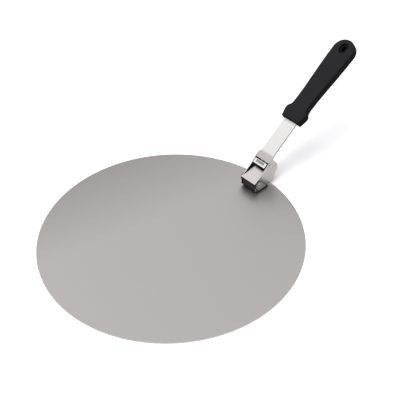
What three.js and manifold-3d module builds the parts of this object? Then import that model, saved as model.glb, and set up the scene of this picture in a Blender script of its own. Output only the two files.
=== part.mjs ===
// A folding pizza peel: a round steel blade, a sheet-steel hinge housing with a thumb latch, a flat
// strip handle and a black plastic grip. The handle folds over the blade when the latch is pressed.
//
// Millimetres, +Z up. The origin is the middle of the blade's underside. The handle points along +Y
// and rises from the blade; the fold pivot and the latch pin run along X.

import * as THREE from 'three';
import { mergeVertices } from 'three/addons/utils/BufferGeometryUtils.js';
import Module from 'manifold-3d';

const wasm = await Module();
wasm.setup();

// ---------------------------------------------------------------- driving dimensions

const DEGREE = Math.PI / 180;
const GAP = 0.3;                        // running clearance between a moving piece and its neighbour
const SEAT_GAP = 0.12;                  // clearance between pieces that are riveted or pressed together

const blade = { radius: 152.5, thickness: 1.0, edgeChamfer: 0.25, segments: 144 };

// The fold pivot, as (y, z). Everything in the hinge is placed from it.
const pivot = { y: 129.3, z: blade.thickness + 11, shaftRadius: 2.2, boreRadius: 1.2, headRadius: 3.0 };

const bracket = {
  sheet: 1.2,
  lobeRadius: 4.8,                      // round end of each ear, about the pivot
  footFront: 129.8,                     // the ear's foot on the blade, along y
  footRear: 145.0,
  plateFront: 136.6,                    // the base plate between the ears, along y
  plateRear: 150.8,
  plateRearHalf: 8.6,                   // its half-width behind the ears
};

const housing = {
  sheet: 1.0,
  halfWidth: 11.2,
  noseTop: { y: 123.6, z: 15.4 },       // front end of the sloping top plate
  noseFoot: { y: 124.1, z: 3.4 },       // lower front corner of the cheeks
  plateRear: { y: 142.8, z: 22.3 },     // rear end of the sloping top plate
  cheekDip: { y: 139.1, z: 25.3 },      // where the cheeks' top edge bends up to the collar
  collarFront: { y: 147.3, z: 33.6 },   // front end of the collar that clasps the strip
  collarLength: 8.6,
  collarHalfWidth: 11.8,
  collarCornerRadius: 2.0,
  cheekRearFoot: { y: 149.2, z: 2.5 },  // the cheeks' open rear edge, from the bottom up
  cheekHeel: { y: 154.8, z: 4.6 },
  cheekRear: { y: 156.8, z: 10.6 },
  cheekKnee: { y: 159.6, z: 15.6 },
  cheekBulge: { y: 164.4, z: 20.6 },
  cheekTop: { y: 160.4, z: 27.6 },
};
const cheekBottom = blade.thickness + bracket.sheet + GAP;
const cheekOverlap = 0.4 * housing.sheet;  // how far the cheeks reach into the plates they join
const plateAngle = slope(housing.noseTop, housing.plateRear);

// The plastic block on the pivot, under the top plate.
const pivotBlock = {
  front: { y: housing.noseFoot.y + 0.5, z: housing.noseFoot.z + 0.3 },
  bottom: { y: pivot.y + 1.5, z: housing.noseFoot.z - 0.7 },
  rear: { y: pivot.y + 6.2, z: housing.noseFoot.z + 1.6 },
  rearTopZ: pivot.z + 1,
  topFrom: 0.9,                         // along the top plate, from its front end
  topTo: 13.5,
};

const strip = {
  angle: 35 * DEGREE,                   // rise of the strip handle above the blade
  thickness: 1.5,
  halfWidth: 9.6,
  tangHalfWidth: 7.0,                   // the part inside the grip
  tangLength: 78,
  setBack: 3.2,                         // from the collar's front edge to the strip's front end
  shoulder: 12.0,                       // from the collar's front edge to the full width
};

const grip = {
  angle: 31.7 * DEGREE,
  frontY: 194.7,                        // where the guard's front face meets the strip
  length: 119.5,
  thickness: 11,
  edgeRound: 2.2,
  guardFrontHalf: 13.2,                 // half-widths of the plan outline
  guardSideHalf: 13.9,
  guardWidestHalf: 15.5,
  waistHalf: 11.4,
  endHalf: 14.7,
  guardSideAt: 3.4,                     // and where they lie along the grip
  guardWidestAt: 11.0,
  guardBackAt: 16.5,
  waistAt: 27.0,
  hangSlot: { fromEnd: 12.7, halfLength: 4.0, halfWidth: 2.5, dish: 2.7, dishDepth: 1.6 },
  screwAt: 46,
};

const latch = {
  pin: { y: 149.6, z: 28.0, radius: 1.5, headRadius: 2.2 },
  sheet: 1.2,
  tabFront: { y: 140.9, z: 28.9 },      // thumb tab, top surface
  tabRear: { y: 145.8, z: 32.4 },
  tabHalfWidth: 9.2,
  tabRecess: { halfWidth: 6.2, from: 2.2, to: 5.3, depth: 0.4 },  // along the tab from its front
  lugInner: 5.4,
  lugOuter: 6.6,
  lugRadius: 2.7,
  lugFromAngle: -20 * DEGREE,           // where the lug's round edge leaves the leg
  lugFront: { y: 142.5, z: 29.2 },      // the lug's corners under the tab
  lugTabEnd: { y: 145.5, z: 31.7 },
  legY: 147.9,                          // middle of the leg that hangs from the pin
  legTop: 25.0,
  legNarrowFrom: 18.0,
  noseHalfWidth: 2.7,
  noseTip: 144.7,
  noseZ: 6.6,                           // middle of the nose's sheet
};

// The catch is a tongue lanced out of the base plate, with a window that the latch nose enters.
const catchTongue = {
  frontY: 145.0,
  halfWidth: 4.6,
  windowHalfWidth: 3.1,
  windowBottom: 4.2,
  windowTop: latch.noseZ + latch.sheet / 2 + 0.25,
  top: 9.1,
};

const rivet = { shankRadius: 1.2, headRadius: 1.9, headHeight: 0.7, flareRadius: 1.9, flareDepth: 0.5 };
const bracketRivets = [
  { name: 'bracket_rivet_front_left', x: -7.1, y: 140.4 },
  { name: 'bracket_rivet_front_right', x: 7.1, y: 140.4 },
  { name: 'bracket_rivet_rear_left', x: -5.6, y: 148.5 },
  { name: 'bracket_rivet_rear_right', x: 5.6, y: 148.5 },
];
const stripRivets = [
  { name: 'strip_rivet_left', x: -5.4 },
  { name: 'strip_rivet_right', x: 5.4 },
];
const stripRivetAt = 6.6;               // from the collar's front edge, along the strip

const screw = { shankRadius: 1.5, headRadius: 3.0, headDepth: 1.7, recess: 0.2, top: 3.6, point: 1.0 };

const spring = {
  wireRadius: 0.4,
  coilRadius: 2.45,
  turns: 4,
  pitch: 1.35,
  leverArm: 5.3,
  leverArmAngle: 245 * DEGREE,
  stripArm: 10.4,
  stripArmAngle: -30 * DEGREE,
};

// ---------------------------------------------------------------- solids and outlines

// A closed geometry as a solid, with its shared vertices merged and its faces pointing out.
function solidOf(geometry) {
  geometry.deleteAttribute('normal');
  geometry.deleteAttribute('uv');
  const merged = mergeVertices(geometry, 1e-4);
  const index = merged.index.array;
  const triangles = [];
  for (let i = 0; i < index.length; i += 3) {
    const [a, b, c] = index.slice(i, i + 3);
    if (a !== b && b !== c && c !== a) triangles.push(a, b, c);
  }
  const mesh = (order) => new wasm.Mesh({
    numProp: 3,
    vertProperties: merged.attributes.position.array,
    triVerts: new Uint32Array(order),
  });
  const solid = new wasm.Manifold(mesh(triangles));
  return solid.volume() > 0 ? solid : new wasm.Manifold(mesh(triangles.reverse()));
}

function geometryOf(solid) {
  const { vertProperties, triVerts } = solid.getMesh();
  const geometry = new THREE.BufferGeometry();
  geometry.setAttribute('position', new THREE.BufferAttribute(vertProperties, 3));
  geometry.setIndex(new THREE.BufferAttribute(triVerts, 1));
  geometry.computeVertexNormals();
  return geometry;
}

function union(...solids) {
  return solids.reduce((sum, solid) => sum.add(solid));
}

// A side-view outline in (y, z), given thickness along x from one x to another.
function acrossX(shape, fromX, toX, curveSegments = 12) {
  const depth = toX - fromX;
  const geometry = new THREE.ExtrudeGeometry(shape, { depth, bevelEnabled: false, curveSegments });
  const yzx = new THREE.Matrix4().makeBasis(
    new THREE.Vector3(0, 1, 0), new THREE.Vector3(0, 0, 1), new THREE.Vector3(1, 0, 0));
  geometry.applyMatrix4(yzx);
  geometry.translate(fromX, 0, 0);
  return solidOf(geometry);
}

// A plan outline in (x, along), given thickness downwards from its top face, then tilted about the
// x axis and carried to where its (0, 0) belongs.
function tiltedPlate(shape, thickness, angle, place, curveSegments = 10) {
  const geometry = new THREE.ExtrudeGeometry(shape,
    { depth: thickness, bevelEnabled: false, curveSegments });
  geometry.translate(0, 0, -thickness);
  geometry.rotateX(angle);
  geometry.translate(0, place.y, place.z);
  return solidOf(geometry);
}

// The same outline as a polygon, with the repeated points where its curves join left out.
function withoutRepeats(shape, divisions) {
  const points = shape.getPoints(divisions);
  const apart = (p, q) => p.distanceTo(q) > 0.01;
  return new THREE.Shape(points.filter((p, i) => apart(p, points[(i + 1) % points.length])));
}

function polygon(points) {
  return new THREE.Shape(points.map((p) => new THREE.Vector2(p.y, p.z)));
}

function slope(from, to) {
  return Math.atan2(to.z - from.z, to.y - from.y);
}

// The point a given distance along a slope, and a given distance above it.
function along(start, angle, distance, above = 0) {
  return {
    y: start.y + distance * Math.cos(angle) - above * Math.sin(angle),
    z: start.z + distance * Math.sin(angle) + above * Math.cos(angle),
  };
}

// The outline of bent sheet: a path of corners, with the sheet on its right-hand side.
function sheetOutline(path, thickness) {
  const angles = path.slice(1).map((p, i) => slope(path[i], p));
  const inner = path.map((p, i) => {
    const before = angles[Math.max(i - 1, 0)];
    const after = angles[Math.min(i, angles.length - 1)];
    const middle = (before + after) / 2;
    const reach = thickness / Math.cos((after - before) / 2);
    return { y: p.y + reach * Math.sin(middle), z: p.z - reach * Math.cos(middle) };
  });
  return polygon([...path, ...inner.reverse()]);
}

function circleHole(shape, centre, radius) {
  const hole = new THREE.Path();
  hole.absarc(centre.y, centre.z, radius, 0, 2 * Math.PI, true);
  shape.holes.push(hole);
}

// The angle at which a line from a point outside a circle touches it, on the left of the line of
// sight (side 1) or on its right (side -1).
function tangentAngle(point, centre, radius, side) {
  const sight = slope(centre, point);
  const reach = Math.hypot(point.y - centre.y, point.z - centre.z);
  return sight + side * Math.acos(radius / reach);
}

// A turned piece: a profile of (radius, height) about the given axis.
function turned(profile, axis, segments = 24) {
  const geometry = new THREE.LatheGeometry(profile.map(([r, h]) => new THREE.Vector2(r, h)), segments);
  if (axis === 'x') geometry.rotateZ(-Math.PI / 2);
  if (axis === 'z') geometry.rotateX(Math.PI / 2);
  return geometry;
}

function cylinderZ(radius, bottom, top, x, y, segments = 24) {
  const geometry = new THREE.CylinderGeometry(radius, radius, top - bottom, segments);
  geometry.rotateX(Math.PI / 2);
  geometry.translate(x, y, (top + bottom) / 2);
  return solidOf(geometry);
}

function box(fromX, toX, fromY, toY, fromZ, toZ) {
  const geometry = new THREE.BoxGeometry(toX - fromX, toY - fromY, toZ - fromZ);
  geometry.translate((fromX + toX) / 2, (fromY + toY) / 2, (fromZ + toZ) / 2);
  return solidOf(geometry);
}

// ---------------------------------------------------------------- materials

function metal(color, roughness) {
  return new THREE.MeshStandardMaterial({ color, roughness, metalness: 1 });
}

const bladeSteel = metal(0xb2aeac, 0.42);
const stripSteel = metal(0xe8e7e5, 0.3);
const housingSteel = metal(0xc4bebc, 0.36);
const bracketSteel = metal(0x948f8e, 0.4);
const pinSteel = metal(0xa9a6a4, 0.3);
const springSteel = metal(0x6d6c6b, 0.35);
const blockPlastic = new THREE.MeshStandardMaterial({ color: 0x201d20, roughness: 0.6, metalness: 0 });
const gripPlastic = new THREE.MeshStandardMaterial({ color: 0x28282a, roughness: 0.55, metalness: 0 });

// ---------------------------------------------------------------- blade and base bracket

// The rivets that hold the bracket are flared into countersinks, flush with the blade's underside.
function rivetCountersink(x, y) {
  const hole = cylinderZ(rivet.shankRadius + SEAT_GAP, -1, blade.thickness + 1, x, y);
  const sink = turned([
    [0, -SEAT_GAP],
    [rivet.flareRadius + 2 * SEAT_GAP, -SEAT_GAP],
    [rivet.shankRadius + SEAT_GAP, rivet.flareDepth + SEAT_GAP],
    [0, rivet.flareDepth + SEAT_GAP],
  ], 'z');
  sink.translate(x, y, 0);
  return union(hole, solidOf(sink));
}

function makeBlade() {
  const { radius, thickness, edgeChamfer, segments } = blade;
  const disc = solidOf(turned([
    [0, 0],
    [radius - edgeChamfer, 0],
    [radius, edgeChamfer],
    [radius, thickness - edgeChamfer],
    [radius - edgeChamfer, thickness],
    [0, thickness],
  ], 'z', segments));
  return bracketRivets.reduce((solid, { x, y }) => solid.subtract(rivetCountersink(x, y)), disc);
}

// One ear: a round lobe about the pivot, with straight sides down to its foot on the blade.
function earOutline() {
  const front = { y: bracket.footFront, z: blade.thickness };
  const rear = { y: bracket.footRear, z: blade.thickness };
  const fromAngle = tangentAngle(rear, pivot, bracket.lobeRadius, 1);
  const toAngle = tangentAngle(front, pivot, bracket.lobeRadius, -1) + 2 * Math.PI;
  const shape = new THREE.Shape();
  shape.moveTo(front.y, front.z);
  shape.lineTo(rear.y, rear.z);
  shape.absarc(pivot.y, pivot.z, bracket.lobeRadius, fromAngle, toAngle, false);
  circleHole(shape, pivot, pivot.shaftRadius + GAP);
  return shape;
}

function catchTongueOutline() {
  const { halfWidth, windowHalfWidth, windowBottom, windowTop, top } = catchTongue;
  const shape = new THREE.Shape();
  shape.moveTo(-halfWidth, blade.thickness);
  shape.lineTo(halfWidth, blade.thickness);
  shape.lineTo(halfWidth, top);
  shape.lineTo(-halfWidth, top);
  const window = new THREE.Path();
  window.moveTo(-windowHalfWidth, windowBottom);
  window.lineTo(-windowHalfWidth, windowTop);
  window.lineTo(windowHalfWidth, windowTop);
  window.lineTo(windowHalfWidth, windowBottom);
  shape.holes.push(window);
  return shape;
}

function makeBracket() {
  const earInner = housing.halfWidth + GAP;
  const earOuter = earInner + bracket.sheet;
  const plateTop = blade.thickness + bracket.sheet;
  const { plateFront, plateRear, plateRearHalf, footRear } = bracket;
  const plate = union(
    box(-earOuter, earOuter, plateFront, footRear, blade.thickness, plateTop),
    box(-plateRearHalf, plateRearHalf, footRear - 1, plateRear, blade.thickness, plateTop));
  const rightEar = acrossX(earOutline(), earInner, earOuter);
  const leftEar = acrossX(earOutline(), -earOuter, -earInner);

  const tongue = new THREE.ExtrudeGeometry(catchTongueOutline(),
    { depth: bracket.sheet, bevelEnabled: false });
  tongue.rotateX(Math.PI / 2);
  tongue.translate(0, catchTongue.frontY + bracket.sheet, 0);
  const lanceLength = catchTongue.top - plateTop;
  const lance = box(-catchTongue.halfWidth, catchTongue.halfWidth,
    catchTongue.frontY - lanceLength, catchTongue.frontY, 0, plateTop + 1);

  const bent = union(plate, rightEar, leftEar).subtract(lance).add(solidOf(tongue));
  return bracketRivets.reduce((solid, { x, y }) =>
    solid.subtract(cylinderZ(rivet.shankRadius + SEAT_GAP, 0, plateTop + 1, x, y)), bent);
}

// A rivet along z: its flared foot at z = 0 and its low round head on top of the pieces it joins.
function makeRivet(gripLength, x, y) {
  const seat = gripLength + SEAT_GAP;
  const geometry = turned([
    [0, 0],
    [rivet.flareRadius, 0],
    [rivet.shankRadius, rivet.flareDepth],
    [rivet.shankRadius, seat],
    [rivet.headRadius, seat],
    [rivet.headRadius * 0.8, seat + rivet.headHeight * 0.6],
    [rivet.headRadius * 0.45, seat + rivet.headHeight * 0.92],
    [0, seat + rivet.headHeight],
  ], 'z');
  geometry.translate(x, y, 0);
  return solidOf(geometry);
}

// The fold pivot is a tubular rivet whose ends are rolled out over the ears.
function makePivotPin() {
  const { shaftRadius, boreRadius, headRadius } = pivot;
  const seat = housing.halfWidth + GAP + bracket.sheet + SEAT_GAP;
  const half = [
    [boreRadius, seat - 0.2],
    [boreRadius + 0.5, seat + 0.8],
    [headRadius - 0.7, seat + 1.0],
    [headRadius - 0.2, seat + 0.7],
    [headRadius, seat],
    [shaftRadius, seat],
  ];
  const mirrored = half.map(([r, h]) => [r, -h]).reverse();
  const profile = [...half, ...mirrored, half[0]];
  const geometry = turned(profile, 'x', 32);
  geometry.translate(0, pivot.y, pivot.z);
  return solidOf(geometry);
}

// A plastic block on the pivot fills the housing's nose under the top plate. It keeps the cheeks
// apart when the rivet is closed.
function makePivotBlock() {
  const { front, bottom, rear, rearTopZ, topFrom, topTo } = pivotBlock;
  const halfLength = housing.halfWidth - housing.sheet - SEAT_GAP;
  const below = -housing.sheet - SEAT_GAP;
  const frontTop = along(housing.noseTop, plateAngle, topFrom, below);
  const rearTop = along(housing.noseTop, plateAngle, topTo, below);
  const outline = polygon([front, bottom, rear, { y: rearTop.y, z: rearTopZ }, rearTop, frontTop]);
  circleHole(outline, pivot, pivot.shaftRadius + SEAT_GAP);
  return acrossX(outline, -halfLength, halfLength);
}

// ---------------------------------------------------------------- hinge housing

// A cheek of the housing, ending inside the thickness of the top plate and the collar.
function cheekOutline() {
  const { noseTop, noseFoot, cheekDip, collarFront, collarLength, collarCornerRadius } = housing;
  const { cheekRearFoot, cheekHeel, cheekRear, cheekKnee, cheekBulge, cheekTop } = housing;
  const inside = -cheekOverlap;
  const collarEnd = along(collarFront, strip.angle, collarLength - collarCornerRadius, inside);
  const collarStart = along(collarFront, strip.angle, 0, inside);
  const noseInside = along(noseTop, plateAngle, cheekOverlap, inside);
  const shape = new THREE.Shape();
  shape.moveTo(noseFoot.y, noseFoot.z);
  shape.lineTo(pivot.y - 1.5, cheekBottom);
  shape.lineTo(cheekRearFoot.y, cheekRearFoot.z);
  shape.quadraticCurveTo(cheekHeel.y, cheekHeel.z, cheekRear.y, cheekRear.z);
  shape.lineTo(cheekKnee.y, cheekKnee.z);
  shape.quadraticCurveTo(cheekBulge.y, cheekBulge.z, cheekTop.y, cheekTop.z);
  shape.lineTo(collarEnd.y, collarEnd.z);
  shape.lineTo(collarStart.y, collarStart.z);
  shape.lineTo(cheekDip.y, cheekDip.z);
  shape.lineTo(noseInside.y, noseInside.z);
  circleHole(shape, pivot, pivot.shaftRadius + GAP);
  circleHole(shape, latch.pin, latch.pin.radius + SEAT_GAP);
  return shape;
}

// A rectangle in plan with rounded far corners.
function collarOutline(halfWidth, length, radius) {
  const shape = new THREE.Shape();
  shape.moveTo(-halfWidth, 0);
  shape.lineTo(halfWidth, 0);
  shape.lineTo(halfWidth, length - radius);
  shape.absarc(halfWidth - radius, length - radius, radius, 0, Math.PI / 2, false);
  shape.absarc(radius - halfWidth, length - radius, radius, Math.PI / 2, Math.PI, false);
  return shape;
}

function stripRivetHole(x, radius) {
  const geometry = new THREE.CylinderGeometry(radius, radius, 12, 24);
  geometry.rotateX(Math.PI / 2);
  geometry.translate(x, stripRivetAt, 0);
  geometry.rotateX(strip.angle);
  geometry.translate(0, housing.collarFront.y, housing.collarFront.z);
  return solidOf(geometry);
}

function makeHousing() {
  const { sheet, halfWidth, noseTop, plateRear, collarFront, collarLength, collarHalfWidth } = housing;
  const topPlate = acrossX(sheetOutline([noseTop, plateRear], sheet), -halfWidth, halfWidth);
  const rightCheek = acrossX(cheekOutline(), halfWidth - sheet, halfWidth);
  const leftCheek = acrossX(cheekOutline(), -halfWidth, sheet - halfWidth);
  const collar = tiltedPlate(collarOutline(collarHalfWidth, collarLength, housing.collarCornerRadius),
    sheet, strip.angle, collarFront);
  const folded = union(topPlate, rightCheek, leftCheek, collar);
  return stripRivets.reduce((solid, { x }) =>
    solid.subtract(stripRivetHole(x, rivet.shankRadius + SEAT_GAP)), folded);
}

// ---------------------------------------------------------------- strip handle and its rivets

// The strip lies against the underside of the collar.
const stripOrigin = along(housing.collarFront, strip.angle, 0, -housing.sheet - SEAT_GAP);
const stripLength = (grip.frontY - stripOrigin.y) / Math.cos(strip.angle);
const gripOrigin = along(stripOrigin, strip.angle, stripLength, -strip.thickness / 2);

function stripOutline() {
  const { halfWidth, tangHalfWidth, setBack, shoulder } = strip;
  const inHousing = housing.halfWidth - housing.sheet - GAP;
  const end = stripLength + 2;
  return new THREE.Shape([
    [-inHousing, setBack], [inHousing, setBack],
    [inHousing, shoulder], [halfWidth, shoulder + 0.8],
    [halfWidth, end], [tangHalfWidth - 1, end + 1],
    [1 - tangHalfWidth, end + 1], [-halfWidth, end],
    [-halfWidth, shoulder + 0.8], [-inHousing, shoulder],
  ].map(([x, u]) => new THREE.Vector2(x, u)));
}

function tangOutline() {
  const { tangHalfWidth, tangLength } = strip;
  const corner = 3;
  return new THREE.Shape([
    [-tangHalfWidth, 1], [tangHalfWidth, 1],
    [tangHalfWidth, tangLength - corner], [tangHalfWidth - corner, tangLength],
    [corner - tangHalfWidth, tangLength], [-tangHalfWidth, tangLength - corner],
  ].map(([x, u]) => new THREE.Vector2(x, u)));
}

function makeStrip() {
  const main = tiltedPlate(stripOutline(), strip.thickness, strip.angle, stripOrigin);
  const tangTop = along(gripOrigin, grip.angle, 0, strip.thickness / 2);
  const tang = tiltedPlate(tangOutline(), strip.thickness, grip.angle, tangTop);
  const withHoles = stripRivets.reduce((solid, { x }) =>
    solid.subtract(stripRivetHole(x, rivet.shankRadius + SEAT_GAP)), main.add(tang));
  return withHoles.subtract(inGrip(screwHole()));
}

// A flush rivet through the collar and the strip, headed on the underside.
function makeStripRivet(x) {
  const joined = housing.sheet + SEAT_GAP + strip.thickness;
  const headSeat = -joined - SEAT_GAP;
  const geometry = turned([
    [0, -0.02],
    [rivet.shankRadius, -0.02],
    [rivet.shankRadius, headSeat],
    [rivet.headRadius, headSeat],
    [rivet.headRadius * 0.8, headSeat - rivet.headHeight * 0.6],
    [0, headSeat - rivet.headHeight],
  ], 'z');
  geometry.translate(x, stripRivetAt, 0);
  geometry.rotateX(strip.angle);
  geometry.translate(0, housing.collarFront.y, housing.collarFront.z);
  return solidOf(geometry);
}

// ---------------------------------------------------------------- grip

// Turns a geometry from the grip's own frame (x across, y along from the guard's front face,
// z up through its thickness) into place.
function inGrip(geometry) {
  geometry.rotateX(grip.angle);
  geometry.translate(0, gripOrigin.y, gripOrigin.z);
  return solidOf(geometry);
}

// Plan outline of the grip: a flared guard, a waist and a round end.
function gripOutline() {
  const { length, guardFrontHalf, guardSideHalf, guardWidestHalf, waistHalf, endHalf } = grip;
  const { guardSideAt, guardWidestAt, guardBackAt, waistAt } = grip;
  const endStart = length - endHalf;
  const shape = new THREE.Shape();
  const side = (s, forward) => {
    const curves = [
      [[guardSideHalf, guardSideAt], [guardSideHalf + 0.6, guardSideAt + 2.4],
        [guardWidestHalf, guardWidestAt - 3], [guardWidestHalf, guardWidestAt]],
      [[guardWidestHalf, guardWidestAt], [guardWidestHalf, guardWidestAt + 5],
        [waistHalf + 2.0, guardBackAt - 1], [waistHalf + 0.7, guardBackAt + 2]],
      [[waistHalf + 0.7, guardBackAt + 2], [waistHalf, guardBackAt + 4],
        [waistHalf, waistAt - 4], [waistHalf, waistAt]],
      [[waistHalf, waistAt], [waistHalf, waistAt + 22], [endHalf, endStart - 28], [endHalf, endStart]],
    ];
    const ordered = forward ? curves : curves.map((c) => [...c].reverse()).reverse();
    for (const [, a, b, end] of ordered) {
      shape.bezierCurveTo(s * a[0], a[1], s * b[0], b[1], s * end[0], end[1]);
    }
  };
  shape.moveTo(-guardFrontHalf, 0);
  shape.lineTo(guardFrontHalf, 0);
  shape.lineTo(guardSideHalf, guardSideAt);
  side(1, true);
  shape.absarc(0, endStart, endHalf, 0, Math.PI, false);
  side(-1, false);
  return shape;
}

// A slot in plan, round at both ends and long along the grip.
function slotOutline(halfWidth, halfLength, centre) {
  const straight = halfLength - halfWidth;
  const shape = new THREE.Shape();
  shape.absarc(0, centre + straight, halfWidth, 0, Math.PI, false);
  shape.absarc(0, centre - straight, halfWidth, Math.PI, 2 * Math.PI, false);
  return shape;
}

function slotCutter(halfWidth, halfLength, centre, bottom, top) {
  const geometry = new THREE.ExtrudeGeometry(slotOutline(halfWidth, halfLength, centre),
    { depth: top - bottom, bevelEnabled: false, curveSegments: 10 });
  geometry.translate(0, 0, bottom);
  return inGrip(geometry);
}

function screwHole() {
  const radius = screw.shankRadius + SEAT_GAP;
  const geometry = new THREE.CylinderGeometry(radius, radius, grip.thickness, 20);
  geometry.rotateX(Math.PI / 2);
  geometry.translate(0, grip.screwAt, screw.top + GAP - grip.thickness / 2);
  return geometry;
}

function tangPocket(halfWidth, from, to) {
  const geometry = new THREE.BoxGeometry(2 * halfWidth, to - from, strip.thickness + 2 * GAP);
  geometry.translate(0, (from + to) / 2, 0);
  return inGrip(geometry);
}

function makeGrip() {
  const half = grip.thickness / 2;
  const body = new THREE.ExtrudeGeometry(withoutRepeats(gripOutline(), 10), {
    depth: grip.thickness - 2 * grip.edgeRound,
    bevelThickness: grip.edgeRound,
    bevelSize: grip.edgeRound,
    bevelOffset: -grip.edgeRound,
    bevelSegments: 3,
  });
  body.translate(0, 0, grip.edgeRound - half);

  const { fromEnd, halfLength, halfWidth, dish, dishDepth } = grip.hangSlot;
  const slotAt = grip.length - fromEnd;
  const sinkTop = -half + screw.recess + screw.headDepth + GAP;
  const headHole = turned([
    [0, -half - 1],
    [screw.headRadius + GAP, -half - 1],
    [screw.headRadius + GAP, -half + screw.recess],
    [screw.shankRadius + GAP, sinkTop],
    [0, sinkTop],
  ], 'z');
  headHole.translate(0, grip.screwAt, 0);
  const cuts = [
    tangPocket(strip.halfWidth + GAP, -3, 2.6 + GAP),
    tangPocket(strip.tangHalfWidth + GAP, 0, strip.tangLength + GAP),
    slotCutter(halfWidth, halfLength, slotAt, -half - 1, half + 1),
    slotCutter(halfWidth + dish, halfLength + dish, slotAt, half - dishDepth, half + 1),
    slotCutter(halfWidth + dish, halfLength + dish, slotAt, -half - 1, dishDepth - half),
    inGrip(screwHole()),
    inGrip(headHole),
  ];
  return cuts.reduce((solid, cut) => solid.subtract(cut), inGrip(body));
}

// One countersunk screw from below holds the grip on the tang.
function makeGripScrew() {
  const bottom = -grip.thickness / 2 + screw.recess;
  const geometry = turned([
    [0, bottom],
    [screw.headRadius, bottom],
    [screw.shankRadius - 0.1, bottom + screw.headDepth],
    [screw.shankRadius - 0.1, screw.top - screw.point],
    [0, screw.top],
  ], 'z', 20);
  geometry.translate(0, grip.screwAt, 0);
  return inGrip(geometry);
}

// ---------------------------------------------------------------- thumb latch

// A lug of the latch lever: round about the pin, reaching forward under the tab and down to the leg.
function lugOutline() {
  const { pin, lugRadius, lugFromAngle, lugFront, lugTabEnd, legY, sheet, legNarrowFrom } = latch;
  const toAngle = tangentAngle(lugTabEnd, pin, lugRadius, -1);
  const shape = new THREE.Shape();
  shape.moveTo(legY - sheet / 2, legNarrowFrom);
  shape.lineTo(legY + sheet / 2, legNarrowFrom);
  shape.absarc(pin.y, pin.z, lugRadius, lugFromAngle, toAngle, false);
  shape.lineTo(lugTabEnd.y, lugTabEnd.z);
  shape.lineTo(lugFront.y, lugFront.z);
  circleHole(shape, pin, pin.radius + GAP);
  return shape;
}

// A shallow rectangular recess for the thumb in the tab's top face.
function tabRecess() {
  const { halfWidth, from, to, depth } = latch.tabRecess;
  const geometry = new THREE.BoxGeometry(2 * halfWidth, to - from, 2 * depth);
  geometry.translate(0, (from + to) / 2, 0);
  geometry.rotateX(slope(latch.tabFront, latch.tabRear));
  geometry.translate(0, latch.tabFront.y, latch.tabFront.z);
  return solidOf(geometry);
}

function makeLatchLever() {
  const { sheet, tabFront, tabRear, tabHalfWidth, lugInner, lugOuter, legY, noseHalfWidth } = latch;
  const tab = acrossX(sheetOutline([tabFront, tabRear], sheet), -tabHalfWidth, tabHalfWidth);
  const rightLug = acrossX(lugOutline(), lugInner, lugOuter);
  const leftLug = acrossX(lugOutline(), -lugOuter, -lugInner);
  const legFront = legY - sheet / 2;
  const legRear = legY + sheet / 2;
  const wideLeg = box(-lugOuter, lugOuter, legFront, legRear, latch.legNarrowFrom, latch.legTop);
  const noseBottom = latch.noseZ - sheet / 2;
  const narrowLeg = box(-noseHalfWidth, noseHalfWidth, legFront, legRear, noseBottom, latch.legTop - 1);
  const nose = box(-noseHalfWidth, noseHalfWidth, latch.noseTip, legRear, noseBottom, noseBottom + sheet);
  return union(tab, rightLug, leftLug, wideLeg, narrowLeg, nose).subtract(tabRecess());
}

function makeLatchPin() {
  const { pin } = latch;
  const seat = housing.halfWidth + SEAT_GAP;
  const half = [
    [pin.radius, seat],
    [pin.headRadius, seat],
    [pin.headRadius * 0.85, seat + 0.45],
    [pin.headRadius * 0.45, seat + 0.7],
    [0, seat + 0.75],
  ];
  const profile = [...half.map(([r, h]) => [r, -h]).reverse(), ...half];
  const geometry = turned(profile, 'x');
  geometry.translate(0, pin.y, pin.z);
  return solidOf(geometry);
}

// The torsion spring's wire: a straight arm under the tab, the coil round the pin, and a straight
// arm up to the underside of the strip.
class SpringWire extends THREE.Curve {
  constructor() {
    super();
    this.fromAngle = spring.leverArmAngle;
    this.toAngle = spring.stripArmAngle + 2 * Math.PI * (spring.turns + 1);
    const coilLength = (this.toAngle - this.fromAngle) * spring.coilRadius;
    this.total = spring.leverArm + coilLength + spring.stripArm;
  }

  coilPoint(angle, beyond = 0) {
    const turn = (angle - this.fromAngle) / (2 * Math.PI);
    const middle = (this.toAngle - this.fromAngle) / (4 * Math.PI);
    return new THREE.Vector3(
      (turn - middle) * spring.pitch,
      latch.pin.y + spring.coilRadius * Math.cos(angle) - beyond * Math.sin(angle),
      latch.pin.z + spring.coilRadius * Math.sin(angle) + beyond * Math.cos(angle));
  }

  getPoint(t) {
    const travelled = t * this.total;
    const onCoil = travelled - spring.leverArm;
    const coilEnd = this.total - spring.stripArm;
    if (onCoil < 0) return this.coilPoint(this.fromAngle, onCoil);
    if (travelled > coilEnd) return this.coilPoint(this.toAngle, travelled - coilEnd);
    return this.coilPoint(this.fromAngle + onCoil / spring.coilRadius);
  }
}

function makeSpring() {
  const section = new THREE.Shape();
  section.absarc(0, 0, spring.wireRadius, 0, 2 * Math.PI, false);
  const geometry = new THREE.ExtrudeGeometry(section,
    { extrudePath: new SpringWire(), steps: 120, curveSegments: 4, bevelEnabled: false });
  return solidOf(geometry);
}

// ---------------------------------------------------------------- assembly

const peel = new THREE.Group();

function addPiece(name, solid, material) {
  const mesh = new THREE.Mesh(geometryOf(solid), material.clone());
  mesh.name = name;
  peel.add(mesh);
}

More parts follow.
